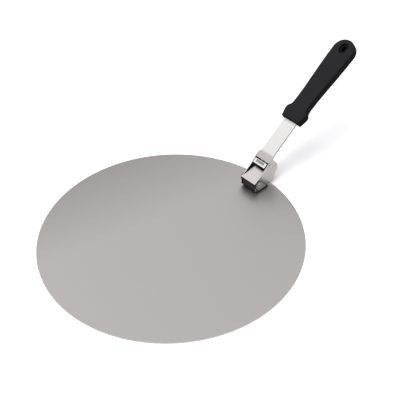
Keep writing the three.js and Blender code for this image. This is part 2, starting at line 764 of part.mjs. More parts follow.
addPiece('blade', makeBlade(), bladeSteel);
addPiece('hinge_bracket', makeBracket(), bracketSteel);
for (const { name, x, y } of bracketRivets) {
  addPiece(name, makeRivet(blade.thickness + bracket.sheet, x, y), pinSteel);
}
addPiece('pivot_pin', makePivotPin(), pinSteel);
addPiece('pivot_block', makePivotBlock(), blockPlastic);
addPiece('hinge_housing', makeHousing(), housingSteel);
addPiece('latch_lever', makeLatchLever(), housingSteel);
addPiece('latch_pin', makeLatchPin(), pinSteel);
addPiece('latch_spring', makeSpring(), springSteel);
addPiece('handle_strip', makeStrip(), stripSteel);
for (const { name, x } of stripRivets) addPiece(name, makeStripRivet(x), pinSteel);
addPiece('grip', makeGrip(), gripPlastic);
addPiece('grip_screw', makeGripScrew(), pinSteel);

export default peel;
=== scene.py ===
"""Looks of the folding pizza peel: a brushed steel blade, a stamped steel hinge with a thumb latch, a
bright strip handle and a moulded black grip.

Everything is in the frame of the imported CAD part, in metres. Sizes below are in millimetres and are
turned into metres by MM. The handle points along +Y and the pivots run along X.
"""

import math

import bmesh
import bpy
from mathutils import Matrix, Vector
from mathutils.geometry import interpolate_bezier


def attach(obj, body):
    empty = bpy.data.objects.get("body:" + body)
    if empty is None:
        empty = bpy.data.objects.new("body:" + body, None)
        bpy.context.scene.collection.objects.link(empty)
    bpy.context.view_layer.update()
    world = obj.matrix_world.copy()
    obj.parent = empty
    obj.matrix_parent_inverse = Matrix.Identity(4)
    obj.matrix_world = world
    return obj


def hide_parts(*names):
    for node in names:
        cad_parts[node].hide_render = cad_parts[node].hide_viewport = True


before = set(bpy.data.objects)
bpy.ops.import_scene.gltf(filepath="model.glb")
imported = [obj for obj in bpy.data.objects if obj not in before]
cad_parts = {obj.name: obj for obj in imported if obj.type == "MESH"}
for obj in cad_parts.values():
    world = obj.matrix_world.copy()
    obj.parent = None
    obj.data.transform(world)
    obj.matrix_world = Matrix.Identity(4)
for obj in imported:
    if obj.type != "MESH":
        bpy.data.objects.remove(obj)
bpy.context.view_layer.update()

# ---------------------------------------------------------------- driving values

MM = 0.001
WELD = 0.004 * MM                  # vertices closer than this are one
SHARP = math.radians(32)           # edges sharper than this stay crisp or get rounded
FLAT = math.radians(0.4)           # faces flatter than this against each other are one face
ON_AXIS = 1e-6                     # profile points nearer the axis than this are one point
SEGMENTS = 64                      # of a turned piece
SMALL_SEGMENTS = 48                # of a small one
PIN_AXIS = Matrix.Rotation(math.pi / 2, 4, "Y")    # turns a piece made about Z to lie along X

BLADE = {"radius": 152.5, "thickness": 1.0, "edge": 0.3, "segments": 300}
BLADE_RINGS = (0.97, 0.8, 0.5, 0.2)    # rings of points on its faces, as shares of the radius
PIVOT = {"y": 129.3, "z": 12.0}
PIVOT_RIVET = {"bore": 1.2, "shaft": 2.2, "head": 3.0, "seat": 12.82, "height": 1.0, "segments": 72}
LATCH_PIN = {"y": 149.6, "z": 28.0, "radius": 1.5, "head": 2.2, "seat": 11.32, "height": 0.75}
SHEET_EDGE = 0.14                  # rounding of cut sheet edges
SHORTEST_EASED = 3 * SHEET_EDGE    # edges shorter than this stay as they are
FOLD_RADIUS = 1.1                  # outside radius of the collar's folds
COLLAR_HALF = 11.8
COLLAR_CORNER = 2.0                # radius of its rear corners
COLLAR_STRAIGHT = 6.6              # length of its sides before them

STRIP_ANGLE = math.radians(35)
COLLAR_FRONT = Vector((0, 147.3, 33.6))
TAB_FRONT = Vector((0, 140.9, 28.9))
TAB_ANGLE = math.atan2(3.5, 4.9)
TAB_RECESS = {"half_width": 6.2, "depth": 0.4}

RIVET = {"shank": 1.2, "head": 1.9, "height": 0.7, "flare": 1.9, "flare_depth": 0.5, "grip": 2.32}
HEAD_EASE = 0.06                   # rounding of its head's rim
FLARE_EASE = {"inwards": 0.08, "upwards": 0.05}
STRIP_RIVET = {
    "x": 5.4,
    "along": 6.6,                  # from the collar's front edge
    "sunk": 0.01,                  # below the collar's top
    "grip": 2.62,                  # collar and strip together
    "shank": 1.31,
    "rim": 0.12,                   # height of the head's straight rim
    "dome_at": 0.16,
    "dome_height": 0.66,
}
RIVET_PLACES = {
    "bracket_rivet_front_left": (-7.1, 140.4),
    "bracket_rivet_front_right": (7.1, 140.4),
    "bracket_rivet_rear_left": (-5.6, 148.5),
    "bracket_rivet_rear_right": (5.6, 148.5),
}
COUNTERSINK_GAP = 0.06

GRIP_ANGLE = math.radians(31.7)
GRIP_START = Vector((0, 195.13, 64.81))    # middle of the guard's front face
GRIP = {
    "length": 119.5,
    "half_thickness": 5.5,
    "edge": 2.2,                   # radius of the long edges
    "crown": 0.12,                 # how far the faces bulge between the edges
    "seam": 0.12,                  # parting line of the mould
    "guard_front": 13.2,           # half-widths of the plan outline
    "guard_side": 13.9,
    "guard_widest": 15.5,
    "waist": 11.4,
    "end": 14.7,
    "guard_side_at": 3.4,          # and where they lie along the grip
    "guard_widest_at": 11.0,
    "guard_back_at": 16.5,
    "waist_at": 27.0,
}
CROWN_RINGS = [(0.7, 0.6), (1.5, 1.0)]     # inset past the long edges, and share of the crown
HANG_SLOT = {
    "from_end": 12.7,
    "half_length": 4.0,
    "half_width": 2.5,
    "dish": 2.7,                   # how much wider the dish is, on each side
    "dish_depth": 1.6,
    "foot": 0.25,                  # bevel at the dish's foot
    "hole_ease": [(-0.1, -0.1), (-0.07, -0.03), (0.0, 0.0)],       # (outwards, up) from the dish's floor
    "lip": [(0.0, -0.45), (0.12, -0.15), (0.45, 0.02), (0.45, 1.0)],   # and from the grip's face
}
STRIP_POCKET = {"half_width": 9.9, "depth": 2.9, "half_height": 1.1}
TANG_POCKET = {"half_width": 7.3, "depth": 78.3, "half_height": 1.05}
SCREW = {"at": 46.0, "shank": 1.4, "head": 3.0, "head_depth": 1.7, "recess": 0.2, "top": 3.6}
SCREW_RIM = {"inwards": 0.15, "upwards": 0.12}
SCREW_CROSS = {"arm": 1.5, "wing": 0.3, "deep": 1.0, "taper": 0.45, "turn": 0.4}
SCREW_HOLE = {"head": 3.3, "shank": 1.8, "gap": 0.3}
CLEAR = 2.0                        # how far a cutter reaches past the surfaces it opens

# Finishes.
PAINTED_SHADE = (0.010, 0.008, 0.009)       # colour of painted shade in crevices, on inside faces and along cut edges
WORN_EDGE_AND_HIGHLIGHT = (1.0, 0.99, 0.98)       # colour of edges painted bright: worn steel, and a painted highlight
# Colour of the grip's rubbed edges, which is also a painted highlight.
RUBBED_PLASTIC_AND_HIGHLIGHT = (0.30, 0.30, 0.31)
FINE_SCRATCHES = 0.35              # their size as a share of the coarse ones
STREAK_RANGE = (0.36, 0.64)        # where most of the brushed noise lies
EVERYWHERE = 1000.0                # further along y than any piece reaches
PLATE_ANGLE = math.radians(20)     # slope of the housing's brushing
OPEN_REAR = (149, 158)             # the housing's inside gets light again between these, along y
BELOW_TOP_PLATE = (13.6, 14.6)     # height where the top plate's front edge starts

# The studio. The panel is a soft bright patch of the surroundings, as two angles about a direction.
STUDIO_COLOUR = (0.90, 0.90, 0.92)
PANEL = {
    "direction": (-0.60, -0.04, 0.83),
    "inner": math.radians(4),
    "outer": math.radians(26),
    "colour": (1.5, 1.48, 1.47),
}
KEY_LIGHT = {
    "direction": (0.0, -0.22, 0.97),
    "aimed_at": (0, 0.1, 0),       # in metres, like the distance and the size
    "distance": 1.5,
    "size": 1.0,
    "power": 22.0,
    "colour": (1.0, 0.985, 0.97),
}
FLOOR = {
    "reach": 4.0,                  # in metres
    "below": 0.05,
    "blotch": 400.0,
    "dark": (0.75, 0.75, 0.755),
    "light": (0.77, 0.77, 0.775),
}

# The camera, in the row frame.
CAMERA = {
    "target": Vector((-25.45, 70.11, 1.0)),
    "azimuth": math.radians(47.7),
    "elevation": math.radians(42.08),
    "roll": math.radians(-1.556),
    "distance": 1297.4,
    "lens": 99.0,
    "sensor": 36.0,
    "shift": (-0.0012, 0.0010),
    "clip": (0.05, 20.0),
}


# ---------------------------------------------------------------- placing pieces


def new_object(name, mesh):
    obj = bpy.data.objects.new(name, mesh)
    bpy.context.scene.collection.objects.link(obj)
    return obj


def mesh_object(name, bm):
    """A new object from a bmesh whose coordinates are in metres."""
    bmesh.ops.recalc_face_normals(bm, faces=bm.faces)
    mesh = bpy.data.meshes.new(name)
    bm.to_mesh(mesh)
    bm.free()
    return new_object(name, mesh)


def dress(obj, body, material, node):
    """Gives a piece its finish, its CAD body and the CAD node it stands for."""
    obj.data.materials.clear()
    obj.data.materials.append(material)
    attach(obj, body)
    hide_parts(node)


def shade(obj):
    """Smooth shading that keeps sharp edges crisp and flat faces flat."""
    for polygon in obj.data.polygons:
        polygon.use_smooth = True
    bm = bmesh.new()
    bm.from_mesh(obj.data)
    for edge in bm.edges:
        folded = len(edge.link_faces) == 2 and edge.calc_face_angle() > SHARP
        edge.smooth = not folded
    bm.to_mesh(obj.data)
    bm.free()
    normals = obj.modifiers.new("normals", "WEIGHTED_NORMAL")
    normals.keep_sharp = True
    return obj


def merge(bm):
    """Merges the points that coincide, and removes the faces without area."""
    bmesh.ops.remove_doubles(bm, verts=bm.verts, dist=WELD)
    bmesh.ops.dissolve_degenerate(bm, edges=bm.edges, dist=WELD)


def weld(mesh):
    """The same for a finished mesh, so that it stays one closed body."""
    bm = bmesh.new()
    bm.from_mesh(mesh)
    merge(bm)
    bm.to_mesh(mesh)
    bm.free()


def bake(obj):
    """Turns what the piece's modifiers do into its plain mesh."""
    bpy.context.view_layer.update()
    result = obj.evaluated_get(bpy.context.evaluated_depsgraph_get())
    obj.data = bpy.data.meshes.new_from_object(result)
    obj.modifiers.clear()


def cut(obj, *cutters):
    """Cuts each cutter's volume out of obj for good."""
    for cutter in cutters:
        modifier = obj.modifiers.new("cut", "BOOLEAN")
        modifier.operation = "DIFFERENCE"
        modifier.solver = "EXACT"
        modifier.object = cutter
        bake(obj)
        bpy.data.objects.remove(cutter)
    weld(obj.data)


# ---------------------------------------------------------------- building shapes


def bridge(bm, ring_a, ring_b):
    """Faces between two rings of the same number of points."""
    count = len(ring_a)
    for i in range(count):
        j = (i + 1) % count
        bm.faces.new((ring_a[i], ring_a[j], ring_b[j], ring_b[i]))


def turned(name, profile, place, segments=SEGMENTS, tube=False):
    """A turned piece: a profile of (radius, height) in mm about Z, closed on itself for a tube."""
    bm = bmesh.new()
    turns = [2 * math.pi * k / segments for k in range(segments)]
    rings = []
    for radius, height in profile:
        if radius < ON_AXIS:
            rings.append([bm.verts.new((0, 0, height * MM))])
            continue
        rings.append([bm.verts.new((radius * MM * math.cos(t), radius * MM * math.sin(t), height * MM))
                      for t in turns])
    pairs = list(zip(rings, rings[1:]))
    if tube:
        pairs.append((rings[-1], rings[0]))
    for a, b in pairs:
        if len(a) == 1 or len(b) == 1:
            pole, ring = (a[0], b) if len(a) == 1 else (b[0], a)
            for i in range(segments):
                bm.faces.new((pole, ring[i], ring[(i + 1) % segments]))
        else:
            bridge(bm, a, b)
    bm.transform(place)
    return mesh_object(name, bm)


def stacked(name, outlines, place):
    """A solid through closed outlines of (x, y, z) points in mm, one above the other."""
    bm = bmesh.new()
    rings = [[bm.verts.new(Vector(p) * MM) for p in outline] for outline in outlines]
    for a, b in zip(rings, rings[1:]):
        bridge(bm, a, b)
    bm.faces.new(rings[0])
    bm.faces.new(rings[-1])
    bm.transform(place)
    return mesh_object(name, bm)


def arc(centre, radius, start, end, steps):
    """Points on a circle in (radius, height) or (x, y), between two angles in degrees."""
    angles = [math.radians(start + (end - start) * k / steps) for k in range(steps + 1)]
    return [(centre[0] + radius * math.cos(a), centre[1] + radius * math.sin(a)) for a in angles]


def dome(radius, seat, height, steps=8):
    """The profile of a low round head, from its rim to its top."""
    turns = [math.pi / 2 * k / steps for k in range(steps + 1)]
    return [(radius * math.cos(t), seat + height * math.sin(t)) for t in turns]


def flipped(profile):
    """A profile turned upside down, with its points in the opposite order."""
    return [(r, -h) for r, h in reversed(profile)]


def bead_edge(radius, half_height, bead, steps=5):
    """The rounded corner between a disc's side and its upper face."""
    return arc((radius - bead, half_height - bead), bead, 0, 90, steps)


def cad_copy(node):
    """A bmesh of a CAD piece, welded."""
    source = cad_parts[node].data
    bm = bmesh.new()
    points = [bm.verts.new(v.co) for v in source.vertices]
    for polygon in source.polygons:
        bm.faces.new([points[i] for i in polygon.vertices])
    merge(bm)
    return bm


def rounded_copy(node, name, fold=None):
    """A CAD piece with its cut edges eased, and its folded edges rounded by FOLD_RADIUS. The function
    fold says how far the edge with this middle is folded, from 0 to 1."""
    bm = cad_copy(node)
    bmesh.ops.dissolve_limit(bm, verts=bm.verts, edges=bm.edges, angle_limit=FLAT)
    bmesh.ops.recalc_face_normals(bm, faces=bm.faces)
    weight = bm.edges.layers.float.new("bevel_weight_edge")
    small = SHEET_EDGE / FOLD_RADIUS
    for edge in bm.edges:
        if len(edge.link_faces) != 2 or edge.calc_face_angle() < SHARP:
            continue
        middle = (edge.verts[0].co + edge.verts[1].co) / 2 / MM
        folded = fold(middle) if fold is not None else 0.0
        if folded > small:
            edge[weight] = folded
        elif edge.calc_length() > SHORTEST_EASED * MM:
            edge[weight] = small
    obj = mesh_object(name, bm)
    bevel = obj.modifiers.new("edges", "BEVEL")
    bevel.limit_method = "WEIGHT"
    bevel.offset_type = "OFFSET"
    bevel.width = FOLD_RADIUS * MM
    bevel.segments = 4
    bevel.use_clamp_overlap = False
    bevel.loop_slide = False
    bevel.miter_outer = "MITER_ARC"
    bake(obj)
    weld(obj.data)
    return shade(obj)


# ---------------------------------------------------------------- material nodes


class Nodes:
    """A small helper for one material's node tree."""

    def __init__(self, name):
        self.material = bpy.data.materials.new(name)
        self.material.use_nodes = True
        self.tree = self.material.node_tree
        self.tree.nodes.clear()
        self.surface = self.add("ShaderNodeBsdfPrincipled")
        output = self.add("ShaderNodeOutputMaterial")
        self.link(self.surface.outputs[0], output.inputs["Surface"])

    def add(self, kind, **settings):
        node = self.tree.nodes.new(kind)
        for key, value in settings.items():
            setattr(node, key, value)
        return node

    def link(self, a, b):
        self.tree.links.new(a, b)

    def coordinates(self, tilt=0.0):
        """Object coordinates in metres, turned about X so that Y runs along a sloping piece."""
        where = self.add("ShaderNodeTexCoord")
        turn = self.add("ShaderNodeMapping")
        turn.inputs["Rotation"].default_value = (-tilt, 0, 0)
        self.link(where.outputs["Object"], turn.inputs["Vector"])
        return turn.outputs["Vector"]

    def axis(self, kind, letter):
        """One component of the piece's Object coordinates or of its Normal."""
        where = self.add("ShaderNodeTexCoord")
        parts = self.add("ShaderNodeSeparateXYZ")
        self.link(where.outputs[kind], parts.inputs[0])
        return parts.outputs[letter]

    def noise(self, vector, across, detail=3.0, roughness=0.6, seed=0.0):
        """Noise whose features are this many mm long in x, y and z."""
        scale = self.add("ShaderNodeMapping")
        scale.inputs["Scale"].default_value = [1 / (size * MM) for size in across]
        scale.inputs["Location"].default_value = (seed, seed, seed)
        self.link(vector, scale.inputs["Vector"])
        texture = self.add("ShaderNodeTexNoise")
        texture.inputs["Scale"].default_value = 1.0
        texture.inputs["Detail"].default_value = detail
        texture.inputs["Roughness"].default_value = roughness
        self.link(scale.outputs["Vector"], texture.inputs["Vector"])
        return texture.outputs["Fac"]

    def ranged(self, value, low, high, from_low=0.3, from_high=0.7):
        """A value taken from one range to another. Most of a noise lies between 0.3 and 0.7."""
        node = self.add("ShaderNodeMapRange")
        node.inputs["From Min"].default_value = from_low
        node.inputs["From Max"].default_value = from_high
        node.inputs["To Min"].default_value = low
        node.inputs["To Max"].default_value = high
        self.link(value, node.inputs["Value"])
        return node.outputs["Result"]

    def maths(self, a, b, operation="ADD"):
        """Two values combined: a is a socket, and b a socket or a number."""
        node = self.add("ShaderNodeMath", operation=operation)
        self.link(a, node.inputs[0])
        if isinstance(b, (int, float)):
            node.inputs[1].default_value = b
        else:
            self.link(b, node.inputs[1])
        return node.outputs[0]

    def mix(self, factor, a, b):
        """A colour between two colours. Each colour is a triple or a socket."""
        node = self.add("ShaderNodeMix", data_type="RGBA")
        self.link(factor, node.inputs["Factor"])
        for value, socket in ((a, node.inputs[6]), (b, node.inputs[7])):
            if isinstance(value, tuple):
                socket.default_value = (*value, 1)
            else:
                self.link(value, socket)
        return node.outputs[2]

    def along(self, kind, direction):
        """How far the piece's Object coordinates or its Normal reach along a direction."""
        where = self.add("ShaderNodeTexCoord")
        dot = self.add("ShaderNodeVectorMath", operation="DOT_PRODUCT")
        dot.inputs[1].default_value = direction
        self.link(where.outputs[kind], dot.inputs[0])
        return dot.outputs["Value"]

    def facing(self, tilt):
        """1 on the broad faces of a piece tilted about X, 0 on its sides."""
        across = self.along("Normal", (0, -math.sin(tilt), math.cos(tilt)))
        return self.ranged(self.maths(across, 0.0, "ABSOLUTE"), 0.0, 1.0, 0.35, 0.95)

    def sideways(self):
        """1 on faces that look along x, either way, and 0 on those that look across it."""
        return self.maths(self.axis("Normal", "X"), 0.0, "ABSOLUTE")

    def edge_mask(self, radius):
        """1 on sharp edges, over a width of about this many mm, and 0 on open faces."""
        bevel = self.add("ShaderNodeBevel", samples=4)
        bevel.inputs["Radius"].default_value = radius * MM
        geometry = self.add("ShaderNodeNewGeometry")
        dot = self.add("ShaderNodeVectorMath", operation="DOT_PRODUCT")
        self.link(bevel.outputs["Normal"], dot.inputs[0])
        self.link(geometry.outputs["Normal"], dot.inputs[1])
        return self.ranged(dot.outputs["Value"], 1.0, 0.0, 0.80, 0.995)

    def bump(self, height, distance):
        node = self.add("ShaderNodeBump")
        node.inputs["Strength"].default_value = 1.0
        node.inputs["Distance"].default_value = distance * MM
        self.link(height, node.inputs["Height"])
        return node.outputs["Normal"]


def scaled(colour, factor):
    return tuple(min(1.0, c * factor) for c in colour)


def steel(name, colour, roughness, grain, tilt=0.0, variation=0.05, wear_and_sheen=0.10, bump=0.004, blotch=45.0,
          edge=0.35, wear_and_sheen_until=EVERYWHERE, painted_shades=()):
    """Brushed steel. Grain is the size of its scratches in mm along x, y and z of the tilted piece.
    Blotches are as large as this many mm. Edges are painted bright over a width in mm, as far as a
    distance along y: partly worn steel, partly a painted highlight. Each entry of the list of painted
    shades is a function that returns a factor, from 1 down to painted shade."""
    n = Nodes(name)
    place = n.coordinates(tilt)
    scratches = n.noise(place, grain, detail=4.0)
    fine = n.noise(place, tuple(g * FINE_SCRATCHES for g in grain), detail=2.0, seed=11.0)
    cloud = n.noise(place, (blotch,) * 3, detail=2.0, seed=3.0)
    streaks = n.maths(n.maths(scratches, fine), 0.5, "MULTIPLY")
    tone = n.maths(n.maths(streaks, 0.6, "MULTIPLY"), n.maths(cloud, 0.4, "MULTIPLY"))
    body = n.mix(n.ranged(tone, 0.0, 1.0, *STREAK_RANGE),
                 scaled(colour, 1 - variation), scaled(colour, 1 + variation))
    # Edges painted bright, partly as worn steel and partly as a painted highlight, up to a distance along y.
    wear_and_sheen_share = n.ranged(n.axis("Object", "Y"), wear_and_sheen, 0.2 * wear_and_sheen, wear_and_sheen_until * MM, (wear_and_sheen_until + 2) * MM)
    edges = n.maths(n.edge_mask(edge), wear_and_sheen_share, "MULTIPLY")
    finish = n.mix(edges, body, WORN_EDGE_AND_HIGHLIGHT)
    # Painted shade from each entry of the list, mixed in towards its dark colour.
    for factor in painted_shades:
        finish = n.mix(factor(n), PAINTED_SHADE, finish)
    n.link(finish, n.surface.inputs["Base Color"])
    rough = n.ranged(streaks, roughness - 0.06, roughness + 0.06, *STREAK_RANGE)
    smudged = n.maths(rough, n.ranged(cloud, -0.03, 0.04))
    n.link(smudged, n.surface.inputs["Roughness"])
    n.surface.inputs["Metallic"].default_value = 1.0
    n.link(n.bump(streaks, bump), n.surface.inputs["Normal"])
    return n.material


def painted_crevice_shade(distance, dark=0.55, clear=0.88):
    """Painted shade in gaps and hollows narrower than this many mm, darkened by ambient occlusion."""
    def factor(n):
        occlusion = n.add("ShaderNodeAmbientOcclusion", samples=8)
        occlusion.inputs["Distance"].default_value = distance * MM
        return n.ranged(occlusion.outputs["AO"], 0.0, 1.0, dark, clear)
    return factor


def painted_inside_shade(n):
    """Painted shade on the faces that look towards the middle of the piece, less so towards its open rear.
    """
    outwards = n.maths(n.axis("Object", "X"), n.axis("Normal", "X"), "MULTIPLY")
    outside = n.ranged(outwards, 0.0, 1.0, -8 * MM, -2 * MM)
    rear = n.ranged(n.axis("Object", "Y"), 0.0, 0.35, OPEN_REAR[0] * MM, OPEN_REAR[1] * MM)
    return n.maths(outside, rear, "MAXIMUM")


def painted_ear_edge_shade(n):
    """Painted shade on the faces that don't look along x, such as the ears' cut edges, outlining the gap
    round each ear.
    """
    return n.ranged(n.sideways(), 0.15, 1.0, 0.4, 0.8)


def painted_cheek_shade(n):
    """Painted shade, a little darker, on the faces that look along x."""
    return n.ranged(n.sideways(), 1.0, 0.74, 0.5, 0.9)


def painted_front_shade(n):
    """Painted shade on the faces below the top plate that look forwards, such as the cheeks' cut edges."""
    forwards = n.ranged(n.axis("Normal", "Y"), 0.0, 1.0, -0.8, -0.4)
    high = n.ranged(n.axis("Object", "Z"), 0.0, 1.0, BELOW_TOP_PLATE[0] * MM, BELOW_TOP_PLATE[1] * MM)
    return n.maths(forwards, high, "MAXIMUM")


def painted_strip_edge_shade(n):
    """Painted shade on the cut long edges, whose faces look along x."""
    return n.ranged(n.sideways(), 1.0, 0.0, 0.5, 0.8)


def painted_shade_drift(direction, start, end, low):
    """Painted shade: the tone darkens down to low between two distances in mm along a direction."""
    def factor(n):
        return n.ranged(n.along("Object", direction), 1.0, low, start * MM, end * MM)
    return factor


def plastic(name, colour, roughness, grain, specular, tilt=0.0, bump=0.03, wear_and_sheen=0.015):
    """Moulded plastic with a fine eroded texture of this grain in mm. Its sides and hollows get painted
    shade, and its rubbed edges a painted highlight.
    """
    n = Nodes(name)
    place = n.coordinates(tilt)
    texture = n.noise(place, (grain,) * 3, detail=3.0)
    pits = n.add("ShaderNodeTexVoronoi", feature="F1")
    pits.inputs["Scale"].default_value = 1 / (grain * 1.6 * MM)
    n.link(place, pits.inputs["Vector"])
    cloud = n.noise(place, (26.0,) * 3, detail=2.0, seed=5.0)
    # Painted shade: the sides and hollows are darkened, and their specular level is lowered with them.
    facing = n.ranged(n.facing(tilt), 0.25, 1.0, 0.0, 1.0)
    unshaded_share = n.maths(facing, painted_crevice_shade(6, 0.7, 0.97)(n), "MULTIPLY")
    clouded = n.mix(n.ranged(cloud, 0.0, 1.0), scaled(colour, 0.85), scaled(colour, 1.2))
    body = n.mix(unshaded_share, scaled(colour, 0.1), clouded)
    # Edges lighter: rubbed plastic and a painted highlight.
    edges = n.maths(n.edge_mask(0.8), wear_and_sheen, "MULTIPLY")
    n.link(n.mix(edges, body, RUBBED_PLASTIC_AND_HIGHLIGHT), n.surface.inputs["Base Color"])
    rough = n.maths(n.ranged(texture, roughness - 0.05, roughness + 0.07), n.ranged(cloud, -0.03, 0.03))
    n.link(rough, n.surface.inputs["Roughness"])
    n.link(n.maths(unshaded_share, specular, "MULTIPLY"), n.surface.inputs["Specular IOR Level"])
    height = n.maths(texture, n.maths(pits.outputs["Distance"], 0.5, "MULTIPLY"))
    n.link(n.bump(height, bump), n.surface.inputs["Normal"])
    return n.material


# ---------------------------------------------------------------- materials

# Painted shade darkens the blade towards -x, and its bright rim is partly a painted highlight.
BLADE_STEEL = steel("blade_steel", (0.507, 0.479, 0.471), 0.42, (60.0, 0.5, 0.5), variation=0.008,
                    bump=0.0008, blotch=80, wear_and_sheen=0.8, edge=0.6,
                    painted_shades=[painted_shade_drift((-0.97, 0.22, 0), 40, 150, 0.74)])
# Painted shade on the housing's cheeks, front, inside and crevices; its bright front edges are partly a
# painted highlight.
HOUSING_STEEL = steel("housing_steel", (0.52, 0.49, 0.485), 0.30, (0.35, 9.0, 9.0), tilt=PLATE_ANGLE,
                      wear_and_sheen=0.9, edge=0.8, wear_and_sheen_until=145,
                      painted_shades=[painted_cheek_shade, painted_front_shade, painted_inside_shade, painted_crevice_shade(5)])
# Painted shade in the lever's crevices.
LEVER_STEEL = steel("lever_steel", (0.85, 0.82, 0.81), 0.30, (9.0, 0.35, 0.35), tilt=STRIP_ANGLE,
                    painted_shades=[painted_crevice_shade(5)])
RECESS_STEEL = steel("recess_steel", (0.34, 0.32, 0.32), 0.42, (9.0, 0.35, 0.35), tilt=STRIP_ANGLE, wear_and_sheen=0.0)
# Painted shade inside the bracket and on its ears' cut edges, and a painted shadow along its foot on the
# blade.
BRACKET_STEEL = steel("bracket_steel", (0.37, 0.345, 0.345), 0.36, (0.35, 6.0, 6.0), wear_and_sheen=0.5,
                      painted_shades=[painted_inside_shade, painted_ear_edge_shade, painted_shade_drift((0, 0, -1), -4.4, -3.4, 0.0)])
# Painted shade on the strip's long cut edges and near the grip.
STRIP_STEEL = steel("strip_steel", (0.78, 0.765, 0.75), 0.28, (0.3, 30.0, 0.3), tilt=STRIP_ANGLE,
                    variation=0.03, wear_and_sheen=0.0, painted_shades=[painted_strip_edge_shade, painted_crevice_shade(5, 0.0, 1.0)])
# Painted shade in the bores, recesses and gaps of the pins, rivets and screw.
PIN_STEEL = steel("pin_steel", (0.46, 0.44, 0.43), 0.27, (0.25, 0.25, 0.25), variation=0.08,
                  painted_shades=[painted_crevice_shade(2.5, 0.35, 0.75)])
RIVET_STEEL = steel("rivet_steel", (0.52, 0.49, 0.485), 0.32, (0.35, 9.0, 9.0), tilt=PLATE_ANGLE, wear_and_sheen=0.0)
SPRING_STEEL = steel("spring_steel", (0.22, 0.22, 0.22), 0.3, (0.3, 0.3, 0.3), variation=0.08)
# Both plastics get painted shade on their sides and in hollows, and a painted highlight on their edges.
BLOCK_PLASTIC = plastic("block_plastic", (0.021, 0.017, 0.020), 0.55, 0.5, 0.3, tilt=math.radians(90))
GRIP_PLASTIC = plastic("grip_plastic", (0.0085, 0.0085, 0.0095), 0.58, 0.45, 0.15, tilt=GRIP_ANGLE)


# ---------------------------------------------------------------- blade and bracket


def upright(x=0.0, y=0.0, z=0.0):
    """The place of a piece that stands along Z at this point, in mm."""
    return Matrix.Translation(Vector((x, y, z)) * MM)


def make_blade():
    """A disc with rounded edges, countersunk below for the bracket's rivets."""
    half = BLADE["thickness"] / 2
    upper = bead_edge(BLADE["radius"], half, BLADE["edge"])
    top = [(BLADE["radius"] * share, half) for share in BLADE_RINGS] + [(0, half)]
    profile = flipped(top) + flipped(upper) + upper + top
    blade = turned("blade_disc", profile, upright(z=half), BLADE["segments"])
    wide = RIVET["flare"] + COUNTERSINK_GAP
    narrow = RIVET["shank"] + COUNTERSINK_GAP
    deep = RIVET["flare_depth"] + COUNTERSINK_GAP
    through = BLADE["thickness"] + CLEAR
    sink = [(0, -CLEAR), (wide, -CLEAR), (wide, 0), (narrow, deep), (narrow, through), (0, through)]
    for x, y in RIVET_PLACES.values():
        cut(blade, turned("sink", sink, upright(x, y), SMALL_SEGMENTS))
    dress(shade(blade), "blade_base", BLADE_STEEL, "blade")


def make_bracket_rivet(node, x, y):
    """Flared flush into the blade below, with a low round head on the base plate."""
    seat = RIVET["grip"]
    profile = [(0, 0), (RIVET["flare"] - FLARE_EASE["inwards"], 0), (RIVET["flare"], FLARE_EASE["upwards"])]
    profile += [(RIVET["shank"], RIVET["flare_depth"]), (RIVET["shank"], seat)]
    profile += [(RIVET["head"] - HEAD_EASE, seat)]
    profile += dome(RIVET["head"], seat + HEAD_EASE, RIVET["height"] - HEAD_EASE)
    rivet = turned(node + "_turned", profile, upright(x, y), SMALL_SEGMENTS)
    dress(shade(rivet), "blade_base", PIN_STEEL, node)


def make_pivot_pin():
    """A tubular rivet with both ends rolled out over the ears."""
    seat = PIVOT_RIVET["seat"]
    middle = (PIVOT_RIVET["bore"] + PIVOT_RIVET["head"]) / 2
    roll = (PIVOT_RIVET["head"] - PIVOT_RIVET["bore"]) / 2
    steps = 14
    turns = [math.pi * (1 - k / steps) for k in range(steps + 1)]
    rolled = [(middle + roll * math.cos(t), seat + PIVOT_RIVET["height"] * math.sin(t)) for t in turns]
    half = [(PIVOT_RIVET["bore"], seat - 0.5)] + rolled + [(PIVOT_RIVET["shaft"], seat)]
    place = upright(y=PIVOT["y"], z=PIVOT["z"]) @ PIN_AXIS
    pin = turned("pivot_pin_rolled", half + flipped(half), place, PIVOT_RIVET["segments"], tube=True)
    dress(shade(pin), "blade_base", PIN_STEEL, "pivot_pin")


# ---------------------------------------------------------------- hinge housing and latch


def make_latch_lever():
    """The lever, with the sunk floor of the thumb tab in darker, rougher steel."""
    lever = rounded_copy("latch_lever", "latch_lever_folded")
    dress(lever, "latch", LEVER_STEEL, "latch_lever")
    lever.data.materials.append(RECESS_STEEL)
    up = Vector((0, -math.sin(TAB_ANGLE), math.cos(TAB_ANGLE)))
    near = 0.05
    for face in lever.data.polygons:
        centre = Vector(face.center) / MM
        depth = (TAB_FRONT - centre).dot(up)
        inside = abs(centre.x) < TAB_RECESS["half_width"] - near and centre.y > TAB_FRONT.y
        on_floor = abs(depth - TAB_RECESS["depth"]) < near and face.normal.dot(up) > 0.9
        if inside and on_floor:
            face.material_index = 1


def collar_fold(point):
    """How far an edge of the collar is folded round: 1 on the sides of its top surface, and less and
    less on its round rear corners."""
    away = point - COLLAR_FRONT
    above = away.z * math.cos(STRIP_ANGLE) - away.y * math.sin(STRIP_ANGLE)
    distance = away.y * math.cos(STRIP_ANGLE) + away.z * math.sin(STRIP_ANGLE)
    corner = COLLAR_HALF - COLLAR_CORNER
    off_top = abs(above) > 0.02
    on_front = distance < 0.5
    if off_top or on_front or abs(point.x) < corner:
        return 0.0
    past = max(0.0, distance - COLLAR_STRAIGHT)
    turned_by = math.atan2(past, abs(point.x) - corner)
    return 1.0 - turned_by / (math.pi / 2)


